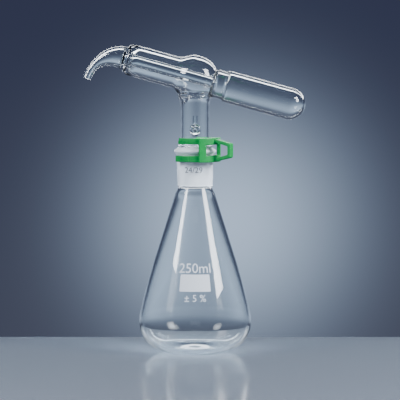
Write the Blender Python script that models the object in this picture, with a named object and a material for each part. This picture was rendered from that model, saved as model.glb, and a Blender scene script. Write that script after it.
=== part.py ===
"""A tilting dose dispenser on a conical laboratory flask, held by a sprung joint clip.

Glass: a 250 ml flask with a ground socket, and a blown dosing head that stands in it
on a ground cone. The head has a stem with a small vent, a bulb and jacket, a delivery
tube inside the jacket, a bent spout on one side and a round-ended measuring chamber on
the other. Plastic: a clip whose two C-shaped rings hold the joint's flanges together.

Frame: metres, +Z up, origin in the middle of the flask's foot, on the axis of the
ground joint. The spout points along -X and the measuring chamber along +X.
"""

import math

import bmesh
import bpy
from mathutils import Matrix, Vector

# ---------------------------------------------------------------- driving dimensions

FIT_GAP = 0.0003            # clearance between pieces that touch or are fused

# Flask
FLASK_RADIUS = 0.0426       # at the widest place
HEEL_RADIUS = 0.0226        # round from the foot into the side
SHOULDER_RADIUS = 0.034     # quick turn above the widest place
SIDE_RADIUS = 0.484         # slow curve that runs into the straight cone
SIDE_TURN = 5.12            # degrees that the slow curve turns
FLASK_HEIGHT = 0.1252       # foot to the weld under the socket
FLASK_WALL = 0.0019

# Ground joint, 24/29: 24 mm wide end, 29 mm long, closing by 1 in 10
JOINT_WIDE_RADIUS = 0.012
JOINT_LENGTH = 0.029
JOINT_TAPER = 0.05          # change of radius for each unit of length
SOCKET_WALL = 0.002         # just under the flange
SOCKET_FOOT_WALL = 0.00285  # at the foot of the ground surface
SOCKET_HEIGHT = 0.0308      # weld to the mouth
FLANGE_PROUD = 0.0021       # the flange stands out of the socket by this
FLANGE_HEIGHT = 0.0062
FLANGE_RIM_FOOT = 0.0026    # the flange's widest band, above its underside
FLANGE_RIM_HEIGHT = 0.0012
SOCKET_SHOULDER_RUN = 0.003  # straight side under the flange
MOUTH_ROUND = 0.0008        # softened edge of the socket's mouth
CONE_FOOT_ROUND = 0.0006
CONE_GROUND_GAP = 0.00027   # the cone's ground surface to the socket's
CONE_SHORTER = 0.0006       # the cone's foot above the foot of the socket's ground surface
CONE_WALL = 0.0017
CONE_BEAD_PROUD = 0.0011    # the bead stands out of the joint's wide end by this
CONE_BEAD_HEIGHT = 0.0015
CONE_BEAD_RIM = 0.0006      # upright rim of the bead

# Stem and vent
STEM_RADIUS = 0.011
STEM_WALL = 0.0018
STEM_ABOVE_CLIP = 0.001     # the stem's foot above the clip
STEM_WELD_ABOVE_MOUTH = 0.0385  # where the stem meets the bulb, above the socket's mouth
VENT_ABOVE_STEM_FOOT = 0.0013   # from the stem's foot to the vent's ring
VENT_RING_RADIUS = 0.0042
VENT_TUBE_RADIUS = 0.0018
VENT_BORE_RADIUS = 0.0011
VENT_BEND_RADIUS = 0.0036
VENT_RISE = 0.0064          # straight run above the bend
VENT_RING_PROUD = 0.0007    # the ring stands out of the stem by this
VENT_RING_INSIDE = 0.0010   # and reaches this far past the stem's wall

# Dosing head, along the arm's own axis from the middle of the bulb
BULB_SUNK = 0.0029          # the bulb's round would reach this far below the weld
ARM_TILT = 15.4             # degrees that the chamber's side hangs down
BULB_RADIUS = 0.0168
BULB_HALF_LENGTH = 0.0179   # along the arm, if it were whole
BULB_END = 0.0148           # bulb's seal toward the chamber
JACKET_RADIUS = 0.012
JACKET_END = 0.0547         # jacket's seal toward the spout
JACKET_SHOULDER = 0.0062    # length of the oval round at the spout's end
JACKET_SHOULDER_DROP = 0.0042   # fall of the radius over that round
JACKET_WALL = 0.0016
BULB_RAMP_START = 0.0160    # the jacket starts to swell here
BULB_RAMP_END = 0.0030
BULB_SKIRT_FLARE = 0.0026   # the flare under the bulb stands out of the stem by this
BULB_SKIRT_HEIGHT = 0.0060
BULB_SKIRT_FOOT_FLARE = 0.0008  # growth of the flare's radius over its foot
BULB_SKIRT_FOOT = 0.0016    # height of the flare's foot
DELIVERY_RADIUS = 0.0045
DELIVERY_WALL = 0.0010
PORT_START = 0.0030         # slot on the underside of the delivery tube
PORT_LENGTH = 0.0070
PORT_WIDTH = 0.0050
COLLAR_RADIUS = 0.01075
COLLAR_LENGTH = 0.0088
CHAMBER_RADIUS = 0.0121
CHAMBER_LENGTH = 0.0627
CHAMBER_WALL = 0.0015

# Spout
SPOUT_ROOT_RADIUS = 0.0086
SPOUT_TIP_RADIUS = 0.0032
SPOUT_WALL = 0.0012
SPOUT_ROOT_RUN = 0.0016     # straight run beside the jacket
SPOUT_BEND_RADIUS = 0.0222
SPOUT_DOWN_ANGLE = 64.5     # degrees that the tip points below the horizontal
SPOUT_TIP_RUN = 0.0044
SPOUT_TAPER_START = 0.0     # along the spout
SPOUT_TAPER_END = 0.0295

# Joint clip
CLIP_AZIMUTH = -34.5        # degrees from +X to the middle of the handle
CLIP_UPPER_THICK = 0.0029   # radial
CLIP_LOWER_THICK = 0.0022
CLIP_RING_HEIGHT = 0.0049
CLIP_FLANGE_ROOM = 0.0005   # between the clip's webs and the flange
CLIP_WEB_THICK = 0.0028     # radial
CLIP_WEB_ANGLE = 38.0       # degrees from the handle's middle to each web's middle
CLIP_WEB_WIDTH = 0.0058
CLIP_JAW_END_ANGLE = 121.0  # degrees from the handle's middle to the jaw's end
CLIP_HINGE_GAP_ANGLE = 1.2  # degrees between the back and a jaw
HANDLE_LENGTH = 0.0138      # from the clip's back
HANDLE_END_HEIGHT = 0.0112
HANDLE_BAR = 0.0024
HANDLE_WIDTH = 0.0048
HANDLE_OVERLAP = 0.0012     # how far the handle runs into the clip's back
HANDLE_ROOT_INSET = 0.0002  # the handle's root inside the clip's top and foot

# Facets
FLASK_SIDES = 48
TUBE_SIDES = 36
SMALL_SIDES = 20

CUT_PAST = 0.002            # how far a cutting tool runs past the face it opens

# ---------------------------------------------------------------- derived places

SOCKET_MOUTH = FLASK_HEIGHT + SOCKET_HEIGHT
JOINT_FOOT = SOCKET_MOUTH - JOINT_LENGTH
JOINT_NARROW_RADIUS = JOINT_WIDE_RADIUS - JOINT_TAPER * JOINT_LENGTH
NECK_RADIUS = JOINT_NARROW_RADIUS + SOCKET_FOOT_WALL
SOCKET_RADIUS = JOINT_WIDE_RADIUS + SOCKET_WALL
FLANGE_RADIUS = SOCKET_RADIUS + FLANGE_PROUD
CONE_BEAD_RADIUS = max(JOINT_WIDE_RADIUS, STEM_RADIUS) + CONE_BEAD_PROUD
CONE_TOP = SOCKET_MOUTH + FIT_GAP + CONE_BEAD_HEIGHT
CLIP_UPPER_Z = CONE_TOP + FIT_GAP
CLIP_LOWER_TOP = SOCKET_MOUTH - FLANGE_HEIGHT
CLIP_LOWER_Z = CLIP_LOWER_TOP - CLIP_RING_HEIGHT
CLIP_TOP = CLIP_UPPER_Z + CLIP_RING_HEIGHT
CLIP_UPPER_INNER = STEM_RADIUS + FIT_GAP
CLIP_LOWER_INNER = SOCKET_RADIUS + FIT_GAP
CLIP_WEB_INNER = FLANGE_RADIUS + CLIP_FLANGE_ROOM
CLIP_WEB_OUTER = CLIP_WEB_INNER + CLIP_WEB_THICK
CLIP_WEB_MIDDLE = (CLIP_WEB_INNER + CLIP_WEB_OUTER) / 2
CLIP_WEB_HALF_ANGLE = math.degrees(CLIP_WEB_WIDTH / 2 / CLIP_WEB_MIDDLE)
CLIP_BACK_END_ANGLE = CLIP_WEB_ANGLE + CLIP_WEB_HALF_ANGLE
HANDLE_REACH = CLIP_WEB_OUTER + HANDLE_LENGTH
STEM_FOOT = CLIP_TOP + STEM_ABOVE_CLIP
STEM_WELD_HEIGHT = SOCKET_MOUTH + STEM_WELD_ABOVE_MOUTH
VENT_HEIGHT = STEM_FOOT + VENT_ABOVE_STEM_FOOT + VENT_RING_RADIUS
ARM_HEIGHT = STEM_WELD_HEIGHT + BULB_RADIUS - BULB_SUNK
COLLAR_END = BULB_END + COLLAR_LENGTH
CHAMBER_END = COLLAR_END + CHAMBER_LENGTH


# ---------------------------------------------------------------- outlines

class Pen:
    """Draws an outline of straight and round stretches, and remembers its headings."""

    def __init__(self, x, y, heading=0.0):
        self.heading = math.radians(heading)
        self.length = 0.0
        self.stations = [(x, y, self.heading, 0.0)]

    def move(self, distance):
        """Go straight on by a distance."""
        x, y, _, _ = self.stations[-1]
        self.length += distance
        x += distance * math.cos(self.heading)
        y += distance * math.sin(self.heading)
        self.stations.append((x, y, self.heading, self.length))
        return self

    def turn(self, radius, degrees, steps):
        """Go round an arc, to the left for a positive angle."""
        step = math.radians(degrees) / steps
        chord = 2 * radius * math.sin(abs(step) / 2)
        for _ in range(steps):
            x, y, _, _ = self.stations[-1]
            x += chord * math.cos(self.heading + step / 2)
            y += chord * math.sin(self.heading + step / 2)
            self.heading += step
            self.length += radius * abs(step)
            self.stations.append((x, y, self.heading, self.length))
        return self

    def points(self, inset=0.0):
        """The outline's points, moved to the left of the pen's way by inset."""
        return [(x - inset * math.sin(h), y + inset * math.cos(h))
                for x, y, h, _ in self.stations]


def ease(t):
    """Smooth step from 0 to 1."""
    t = min(1.0, max(0.0, t))
    return t * t * (3 - 2 * t)


def shell(outer, inner):
    """The closed outline of a wall between two outlines that run the same way."""
    return outer + inner[::-1]


# ---------------------------------------------------------------- mesh helpers

def clear_objects():
    for old in list(bpy.data.objects):
        bpy.data.objects.remove(old, do_unlink=True)


def material(name, colour, roughness, alpha=1.0):
    made = bpy.data.materials.new(name)
    made.use_nodes = True
    shader = made.node_tree.nodes["Principled BSDF"]
    shader.inputs["Base Color"].default_value = (*colour, 1.0)
    shader.inputs["Roughness"].default_value = roughness
    shader.inputs["Metallic"].default_value = 0.0
    shader.inputs["Alpha"].default_value = alpha
    return made


def add_empty(name, parent=None, location=(0, 0, 0), rotation=(0, 0, 0)):
    empty = bpy.data.objects.new(name, None)
    bpy.context.collection.objects.link(empty)
    empty.parent = parent
    empty.location = location
    empty.rotation_euler = rotation
    return empty


def add_object(name, bm, parent, look, location=(0, 0, 0), smooth=35.0):
    """An object from a bmesh, shaded smooth where its faces meet at a small angle."""
    bmesh.ops.remove_doubles(bm, verts=bm.verts, dist=1e-6)
    bmesh.ops.recalc_face_normals(bm, faces=bm.faces)
    mesh = bpy.data.meshes.new(name)
    bm.to_mesh(mesh)
    bm.free()
    mesh.shade_smooth()
    mesh.set_sharp_from_angle(angle=math.radians(smooth))
    mesh.materials.append(look)
    made = bpy.data.objects.new(name, mesh)
    bpy.context.collection.objects.link(made)
    made.parent = parent
    made.location = location
    return made


def turned(outline, sides):
    """A bmesh of an outline of (radius, height) points spun round the Z axis."""
    bm = bmesh.new()
    verts = [bm.verts.new((radius, 0, height)) for radius, height in outline]
    edges = [bm.edges.new(pair) for pair in zip(verts, verts[1:])]
    if outline[0][0] > 0 or outline[-1][0] > 0:
        edges.append(bm.edges.new((verts[-1], verts[0])))
    bmesh.ops.spin(bm, geom=verts + edges, axis=(0, 0, 1), cent=(0, 0, 0),
                   steps=sides, angle=2 * math.pi, use_merge=True)
    return bm


def prism(outline, low, high):
    """A bmesh of an outline of (x, y) points raised from one height to another."""
    bm = bmesh.new()
    face = bm.faces.new([bm.verts.new((x, y, low)) for x, y in outline])
    raised = bmesh.ops.extrude_face_region(bm, geom=[face])["geom"]
    moved = [item for item in raised if isinstance(item, bmesh.types.BMVert)]
    bmesh.ops.translate(bm, verts=moved, vec=(0, 0, high - low))
    return bm


def box(low, high):
    """A bmesh of a block between two corners."""
    outline = [(low[0], low[1]), (high[0], low[1]), (high[0], high[1]), (low[0], high[1])]
    return prism(outline, low[2], high[2])


def bent_tube(stations, outer, bore, place, sides):
    """A bmesh of a tube along flat stations, with a radius and a bore for each.

    place maps the stations' plane into the object's space: x and y become the first
    two columns, and the third column is across the plane.
    """
    bm = bmesh.new()

    def ring(station, radius):
        x, y, heading, _ = station
        normal = Vector((-math.sin(heading), math.cos(heading), 0))
        across = Vector((0, 0, 1))
        verts = []
        for side in range(sides):
            angle = 2 * math.pi * side / sides
            spoke = normal * math.cos(angle) + across * math.sin(angle)
            verts.append(bm.verts.new(place @ (Vector((x, y, 0)) + radius * spoke)))
        return verts

    rings = [ring(station, radius) for station, radius in zip(stations, outer)]
    rings += [ring(station, radius) for station, radius in zip(stations, bore)][::-1]
    for first, second in zip(rings, rings[1:] + rings[:1]):
        for side in range(sides):
            after = (side + 1) % sides
            bm.faces.new((first[side], first[after], second[after], second[side]))
    return bm


def use_tool(target, bm, operation, parent, location=(0, 0, 0)):
    """Cut or join a hidden tool shape with a Boolean modifier."""
    name = f"{target.name}_{operation.lower()}_{len(target.modifiers)}"
    tool = add_object(name, bm, parent, target.data.materials[0], location)
    tool.hide_render = True
    tool.display_type = "WIRE"
    boolean = target.modifiers.new(operation.title(), "BOOLEAN")
    boolean.operation = operation
    boolean.object = tool
    boolean.solver = "EXACT"


# ---------------------------------------------------------------- flask

def curved_side(shoulder_turn):
    """The flask's outer line from the foot's edge to the start of the straight cone."""
    pen = Pen(FLASK_RADIUS - HEEL_RADIUS, 0.0)
    pen.turn(HEEL_RADIUS, 90.0, 9)
    pen.turn(SHOULDER_RADIUS, shoulder_turn, 2)
    pen.turn(SIDE_RADIUS, SIDE_TURN, 4)
    return pen


def flask_side():
    """The flask's outer line up to the neck; the shoulder turns until the cone meets it."""
    least = 0.0
    most = 80.0
    for _ in range(40):
        turn = (least + most) / 2
        x, y, heading, _ = curved_side(turn).stations[-1]
        to_neck = math.atan2(FLASK_HEIGHT - y, NECK_RADIUS - x)
        if heading < to_neck:
            least = turn
        else:
            most = turn
    pen = curved_side(turn)
    x, y, _, _ = pen.stations[-1]
    pen.move(math.hypot(NECK_RADIUS - x, FLASK_HEIGHT - y))
    return pen


def make_flask_body(look):
    side = flask_side()
    outer = [(0.0, 0.0)] + side.points()
    inner = [(0.0, FLASK_WALL)] + side.points(inset=FLASK_WALL)
    top = FLASK_HEIGHT - FIT_GAP / 2
    outer[-1] = (outer[-1][0], top)
    inner[-1] = (inner[-1][0], top)
    add_object("flask_body", turned(shell(outer, inner), FLASK_SIDES), None, look)


def make_ground_socket(look):
    foot = FLASK_HEIGHT + FIT_GAP / 2
    mouth = SOCKET_MOUTH
    under = mouth - FLANGE_HEIGHT
    outer = [
        (NECK_RADIUS, foot),
        (SOCKET_RADIUS, under - SOCKET_SHOULDER_RUN),
        (SOCKET_RADIUS, under),
        (FLANGE_RADIUS, under + FLANGE_RIM_FOOT),
        (FLANGE_RADIUS, under + FLANGE_RIM_FOOT + FLANGE_RIM_HEIGHT),
        (SOCKET_RADIUS, mouth - MOUTH_ROUND),
        (SOCKET_RADIUS - MOUTH_ROUND, mouth),
    ]
    inner = [
        (NECK_RADIUS - FLASK_WALL, foot),
        (JOINT_NARROW_RADIUS, JOINT_FOOT),
        (JOINT_WIDE_RADIUS, mouth),
    ]
    add_object("ground_socket", turned(shell(outer, inner), TUBE_SIDES), None, look)


# ---------------------------------------------------------------- head: joint and stem

def make_ground_cone(look, parent):
    mouth = SOCKET_MOUTH
    bead_foot = mouth + FIT_GAP
    foot = JOINT_FOOT + CONE_SHORTER
    narrow = JOINT_WIDE_RADIUS - JOINT_TAPER * (mouth - foot) - CONE_GROUND_GAP
    wide = JOINT_WIDE_RADIUS - CONE_GROUND_GAP
    outer = [
        (narrow - CONE_FOOT_ROUND, foot),
        (narrow, foot + CONE_FOOT_ROUND),
        (wide, mouth),
        (wide, bead_foot),
        (CONE_BEAD_RADIUS, bead_foot),
        (CONE_BEAD_RADIUS, bead_foot + CONE_BEAD_RIM),
        (STEM_RADIUS, CONE_TOP),
        (STEM_RADIUS, STEM_FOOT - FIT_GAP / 2),
    ]
    inner = [
        (narrow - CONE_WALL, foot),
        (STEM_RADIUS - STEM_WALL, mouth),
        (STEM_RADIUS - STEM_WALL, STEM_FOOT - FIT_GAP / 2),
    ]
    add_object("ground_cone", turned(shell(outer, inner), TUBE_SIDES), parent, look)


def make_stem_tube(look, parent):
    foot = STEM_FOOT + FIT_GAP / 2
    top = STEM_WELD_HEIGHT - FIT_GAP / 2
    outer = [(STEM_RADIUS, foot), (STEM_RADIUS, top)]
    inner = [(STEM_RADIUS - STEM_WALL, foot), (STEM_RADIUS - STEM_WALL, top)]
    stem = add_object("stem_tube", turned(shell(outer, inner), TUBE_SIDES), parent, look)
    hole = turned([(0, 0), (VENT_RING_RADIUS + FIT_GAP, 0),
                   (VENT_RING_RADIUS + FIT_GAP, STEM_RADIUS), (0, STEM_RADIUS)], SMALL_SIDES)
    bmesh.ops.rotate(hole, verts=hole.verts, matrix=Matrix.Rotation(math.pi / 2, 3, "X"))
    use_tool(stem, hole, "DIFFERENCE", parent, (0, -STEM_RADIUS / 2, VENT_HEIGHT))


def make_vent_tube(look, parent):
    """A ring in the stem's front wall that runs into a small tube, bent upward inside."""
    ring_depth = STEM_WALL + VENT_RING_INSIDE
    start = STEM_RADIUS + VENT_RING_PROUD
    pen = Pen(-start, 0.0)
    for _ in range(3):
        pen.move(ring_depth / 2)
    pen.turn(VENT_BEND_RADIUS, 90.0, 5)
    pen.move(VENT_RISE)
    outer = []
    bore = []
    for _, _, _, along in pen.stations:
        narrowed = ease((along - ring_depth / 2) / ring_depth)
        outer.append(VENT_RING_RADIUS + (VENT_TUBE_RADIUS - VENT_RING_RADIUS) * narrowed)
        bore.append(outer[-1] - (VENT_TUBE_RADIUS - VENT_BORE_RADIUS) * (2 - narrowed))
    # The stations' x runs along +Y and their y runs up.
    place = Matrix(((0, 0, 1), (1, 0, 0), (0, 1, 0)))
    tube = bent_tube(pen.stations, outer, bore, place, 12)
    bmesh.ops.translate(tube, verts=tube.verts, vec=(0, 0, VENT_HEIGHT))
    add_object("vent_tube", tube, parent, look)


# ---------------------------------------------------------------- head: the arm

def jacket_line(inset):
    """Outline of the jacket and bulb round the arm's axis, spout's end first."""
    points = []
    steps = 4
    for step in range(steps + 1):
        angle = math.pi / 2 * step / steps
        points.append((JACKET_RADIUS - JACKET_SHOULDER_DROP
                       + (JACKET_SHOULDER_DROP - inset) * math.sin(angle),
                       -JACKET_END + JACKET_SHOULDER
                       - (JACKET_SHOULDER - inset) * math.cos(angle)))
    steps = 6
    for step in range(steps + 1):
        swelling = ease(step / steps)
        along = -BULB_RAMP_START + (BULB_RAMP_START - BULB_RAMP_END) * step / steps
        radius = JACKET_RADIUS + (BULB_RADIUS - JACKET_RADIUS) * swelling - inset
        points.append((radius, along))
    # Past its widest place the bulb is an ellipse, cut off by the seal.
    half_length = BULB_HALF_LENGTH - inset
    end = BULB_END - inset
    steps = 7
    for step in range(1, steps + 1):
        along = end * math.sin(math.pi / 2 * step / steps)
        radius = (BULB_RADIUS - inset) * math.sqrt(1 - (along / half_length) ** 2)
        points.append((radius, along))
    return points


def make_jacket(look, head, arm):
    """The bulb over the stem and the jacket round the delivery tube, blown as one."""
    hole = DELIVERY_RADIUS + FIT_GAP
    outline = jacket_line(0.0)
    solid = turned([(0, -JACKET_END)] + outline + [(0, BULB_END)], TUBE_SIDES)
    jacket = add_object("bulb_and_jacket", solid, arm, look)

    weld = STEM_WELD_HEIGHT + FIT_GAP / 2
    skirt_top = weld + BULB_SKIRT_HEIGHT
    skirt = turned([(0, weld), (STEM_RADIUS, weld),
                    (STEM_RADIUS + BULB_SKIRT_FOOT_FLARE, weld + BULB_SKIRT_FOOT),
                    (STEM_RADIUS + BULB_SKIRT_FLARE, skirt_top), (0, skirt_top)], TUBE_SIDES)
    use_tool(jacket, skirt, "UNION", head)

    inner = jacket_line(JACKET_WALL)
    first = -JACKET_END - CUT_PAST
    last = BULB_END + CUT_PAST
    through = [(0, first), (hole, first), (hole, inner[0][1])]
    through += inner + [(hole, inner[-1][1]), (hole, last), (0, last)]
    use_tool(jacket, turned(through, TUBE_SIDES), "DIFFERENCE", arm)

    # Nothing of the flare reaches past the bulb's seal.
    seal = BULB_END + FIT_GAP / 2
    beyond = turned([(0, seal), (2 * BULB_RADIUS, seal),
                     (2 * BULB_RADIUS, seal + BULB_RADIUS), (0, seal + BULB_RADIUS)], TUBE_SIDES)
    use_tool(jacket, beyond, "DIFFERENCE", arm)

    # The stem's bore runs up into the bulb, and nothing hangs below the weld.
    bore = STEM_RADIUS - STEM_WALL
    low = ARM_HEIGHT - 1.5 * BULB_RADIUS
    high = ARM_HEIGHT - BULB_RADIUS / 2
    way_down = turned([(0, low), (STEM_RADIUS, low), (STEM_RADIUS, weld), (bore, weld),
                       (bore, high), (0, high)], TUBE_SIDES)
    use_tool(jacket, way_down, "DIFFERENCE", head)


def make_delivery_tube(look, arm):
    """The tube that carries the dose to the spout, with a port over the stem."""
    ends = (-JACKET_END, BULB_END)
    outer = [(DELIVERY_RADIUS, along) for along in ends]
    inner = [(DELIVERY_RADIUS - DELIVERY_WALL, along) for along in ends]
    tube = add_object("delivery_tube", turned(shell(outer, inner), SMALL_SIDES), arm, look)
    # The arm's local +X points down, so the port is cut on that side.
    port = box((0, -PORT_WIDTH / 2, -PORT_START - PORT_LENGTH),
               (2 * DELIVERY_RADIUS, PORT_WIDTH / 2, -PORT_START))
    use_tool(tube, port, "DIFFERENCE", arm)


def make_spout(look, arm):
    pen = Pen(JACKET_END + FIT_GAP, 0.0)
    pen.move(SPOUT_ROOT_RUN)
    pen.turn(SPOUT_BEND_RADIUS, ARM_TILT + SPOUT_DOWN_ANGLE, 9)
    pen.move(SPOUT_TIP_RUN / 2).move(SPOUT_TIP_RUN / 2)
    outer = []
    bore = []
    for _, _, _, along in pen.stations:
        share = ease((along - SPOUT_TAPER_START) / (SPOUT_TAPER_END - SPOUT_TAPER_START))
        outer.append(SPOUT_ROOT_RADIUS + (SPOUT_TIP_RADIUS - SPOUT_ROOT_RADIUS) * share)
        bore.append(outer[-1] - SPOUT_WALL)
    # The stations' x runs away from the bulb, along -Z of the arm, and their y runs down.
    place = Matrix(((0, 1, 0), (0, 0, 1), (-1, 0, 0)))
    add_object("spout", bent_tube(pen.stations, outer, bore, place, 24), arm, look)


def make_seal_collar(look, arm):
    ends = (BULB_END + FIT_GAP, COLLAR_END)
    outer = [(COLLAR_RADIUS, along) for along in ends]
    inner = [(COLLAR_RADIUS - CHAMBER_WALL, along) for along in ends]
    add_object("seal_collar", turned(shell(outer, inner), TUBE_SIDES), arm, look)


def make_measuring_chamber(look, arm):
    """A tube with a round closed end."""
    mouth = COLLAR_END + FIT_GAP
    straight = CHAMBER_END - CHAMBER_RADIUS - mouth
    walls = []
    for inset in (0.0, CHAMBER_WALL):
        pen = Pen(CHAMBER_RADIUS - inset, mouth, 90.0)
        pen.move(straight)
        pen.turn(CHAMBER_RADIUS - inset, 90.0, 6)
        line = pen.points()
        line[-1] = (0.0, line[-1][1])
        walls.append(line)
    outer, inner = walls
    add_object("measuring_chamber", turned(outer[::-1] + inner, TUBE_SIDES), arm, look)


# ---------------------------------------------------------------- joint clip

def arc_points(radius, start, end, steps):
    """Points round the neck's axis between two angles in degrees."""
    points = []
    for step in range(steps + 1):
        angle = math.radians(start + (end - start) * step / steps)
        points.append((radius * math.cos(angle), radius * math.sin(angle)))
    return points


def make_clip_back(look, clip):
    """The clip's back: both rings' backs, the two webs between them and the handle."""
    end = CLIP_BACK_END_ANGLE
    solid = prism(arc_points(CLIP_WEB_OUTER, -end, end, 16)
                  + arc_points(CLIP_UPPER_INNER, end, -end, 16), CLIP_LOWER_Z, CLIP_TOP)
    back = add_object("clip_back", solid, clip, look)

    neck_room = turned([(0, 0), (CLIP_LOWER_INNER, 0), (CLIP_LOWER_INNER, CLIP_LOWER_TOP),
                        (CLIP_WEB_INNER, CLIP_LOWER_TOP), (CLIP_WEB_INNER, CLIP_UPPER_Z),
                        (0, CLIP_UPPER_Z)], 2 * TUBE_SIDES)
    use_tool(back, neck_room, "DIFFERENCE", clip)

    open_end = CLIP_WEB_ANGLE - CLIP_WEB_HALF_ANGLE
    window = prism(arc_points(2 * CLIP_WEB_OUTER, -open_end, open_end, 8)
                   + arc_points(CLIP_LOWER_INNER, open_end, -open_end, 8),
                   CLIP_LOWER_TOP, CLIP_UPPER_Z)
    use_tool(back, window, "DIFFERENCE", clip)

    use_tool(back, handle_loop(), "UNION", clip)


def handle_loop():
    """A loop in the upright plane through the handle's middle, drawn along +X."""
    middle = (CLIP_LOWER_Z + CLIP_TOP) / 2
    root = CLIP_WEB_OUTER - HANDLE_OVERLAP
    half_root = (CLIP_TOP - CLIP_LOWER_Z) / 2 - HANDLE_ROOT_INSET
    half_end = HANDLE_END_HEIGHT / 2
    bend = HANDLE_REACH - HANDLE_BAR
    outline = [(root, -half_root), (bend, -half_end), (HANDLE_REACH, -half_end + HANDLE_BAR / 2),
               (HANDLE_REACH, half_end - HANDLE_BAR / 2), (bend, half_end), (root, half_root),
               (root, half_root - HANDLE_BAR), (bend, half_end - HANDLE_BAR),
               (bend, -half_end + HANDLE_BAR), (root, -half_root + HANDLE_BAR)]
    loop = prism(outline, -HANDLE_WIDTH / 2, HANDLE_WIDTH / 2)
    # The outline was drawn in plan; this stands it up.
    bmesh.ops.rotate(loop, verts=loop.verts, matrix=Matrix.Rotation(math.pi / 2, 3, "X"))
    bmesh.ops.translate(loop, verts=loop.verts, vec=(0, 0, middle))
    return loop


def jaw_arm(inner, thick, low, high, side):
    """One arm of a C-shaped ring, with a round end; side is 1 or -1."""
    start = CLIP_BACK_END_ANGLE + CLIP_HINGE_GAP_ANGLE
    middle = inner + thick / 2
    end = CLIP_JAW_END_ANGLE - math.degrees(thick / 2 / middle)
    outline = arc_points(inner + thick, start, end, 10)
    angle = math.radians(end)
    centre = Vector((middle * math.cos(angle), middle * math.sin(angle)))
    for step in range(1, 6):
        turned_by = angle + math.pi * step / 6
        outline.append((centre.x + thick / 2 * math.cos(turned_by),
                        centre.y + thick / 2 * math.sin(turned_by)))
    outline += arc_points(inner, end, start, 10)
    if side < 0:
        outline = [(x, -y) for x, y in outline][::-1]
    hinge = hinge_place(side)
    outline = [(x - hinge.x, y - hinge.y) for x, y in outline]
    return prism(outline, low, high)


def hinge_place(side):
    """Where a jaw flexes: the middle of its web, seen from above."""
    angle = math.radians(CLIP_WEB_ANGLE) * side
    return Vector((CLIP_WEB_MIDDLE * math.cos(angle), CLIP_WEB_MIDDLE * math.sin(angle), 0))


def make_jaws(look, clip):
    for name, side in (("front", -1), ("rear", 1)):
        hinge = add_empty(f"{name}_jaw_hinge", clip, hinge_place(side))
        upper = jaw_arm(CLIP_UPPER_INNER, CLIP_UPPER_THICK, CLIP_UPPER_Z, CLIP_TOP, side)
        add_object(f"clip_upper_{name}_arm", upper, hinge, look)
        lower = jaw_arm(CLIP_LOWER_INNER, CLIP_LOWER_THICK, CLIP_LOWER_Z, CLIP_LOWER_TOP, side)
        add_object(f"clip_lower_{name}_arm", lower, hinge, look)


# ---------------------------------------------------------------- assembly

def main():
    clear_objects()
    clear_glass = material("clear_glass", (0.86, 0.90, 0.93), 0.03, 0.35)
    ground_glass = material("ground_glass", (0.85, 0.87, 0.88), 0.6, 0.8)
    plastic = material("green_plastic", (0.0, 0.46, 0.16), 0.35)

    make_flask_body(clear_glass)
    make_ground_socket(ground_glass)

    head = add_empty("head_axis")
    arm = add_empty("arm_axis", head, (0, 0, ARM_HEIGHT), (0, math.radians(90 + ARM_TILT), 0))
    make_ground_cone(ground_glass, head)
    make_stem_tube(clear_glass, head)
    make_vent_tube(clear_glass, head)
    make_jacket(clear_glass, head, arm)
    make_delivery_tube(clear_glass, arm)
    make_spout(clear_glass, arm)
    make_seal_collar(clear_glass, arm)
    make_measuring_chamber(clear_glass, arm)

    clip = add_empty("clip_axis", rotation=(0, 0, math.radians(CLIP_AZIMUTH)))
    make_clip_back(plastic, clip)
    make_jaws(plastic, clip)


main()
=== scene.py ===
"""Looks of a tilting dose dispenser on a conical flask: glass, clip, markings and stage.

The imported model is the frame: every place here comes from its nodes' boxes. The fused
glass is made as two continuous bodies, the flask with its socket and the dosing head
with its cone, in place of the separate components that the model keeps for its joints.
"""

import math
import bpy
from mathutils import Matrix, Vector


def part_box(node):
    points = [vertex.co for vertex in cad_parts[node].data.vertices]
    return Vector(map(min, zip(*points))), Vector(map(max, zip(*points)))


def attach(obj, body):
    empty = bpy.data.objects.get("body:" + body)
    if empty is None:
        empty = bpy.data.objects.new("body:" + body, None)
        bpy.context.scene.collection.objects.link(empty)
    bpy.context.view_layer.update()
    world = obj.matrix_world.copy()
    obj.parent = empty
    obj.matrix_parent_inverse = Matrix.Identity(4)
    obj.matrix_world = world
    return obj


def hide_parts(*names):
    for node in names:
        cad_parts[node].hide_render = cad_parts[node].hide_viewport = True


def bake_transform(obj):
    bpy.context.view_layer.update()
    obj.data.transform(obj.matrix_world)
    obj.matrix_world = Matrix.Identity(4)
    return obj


bl_info = {
    "name": "Tilting Dispenser Looks",
    "version": (1, 0, 0),
    "blender": (4, 5, 0),
    "location": "View3D > Sidebar > Dispenser",
    "description": "Builds the glass, clip, markings and stage of a tilting dose dispenser",
    "category": "Add Mesh",
}

from contextlib import contextmanager

import bmesh
import bpy
import numpy as np
from bpy.props import (FloatProperty, FloatVectorProperty, IntProperty, PointerProperty,
                       StringProperty)
from mathutils import Matrix, Vector

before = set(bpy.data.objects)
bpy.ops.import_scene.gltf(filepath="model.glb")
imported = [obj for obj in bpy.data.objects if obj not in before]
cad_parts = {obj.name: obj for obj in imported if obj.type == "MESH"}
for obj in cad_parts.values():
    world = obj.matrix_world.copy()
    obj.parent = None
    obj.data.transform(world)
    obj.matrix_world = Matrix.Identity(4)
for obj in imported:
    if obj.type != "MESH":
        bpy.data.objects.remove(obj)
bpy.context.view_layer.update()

# ---------------------------------------------------------------- places from the frame

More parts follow.
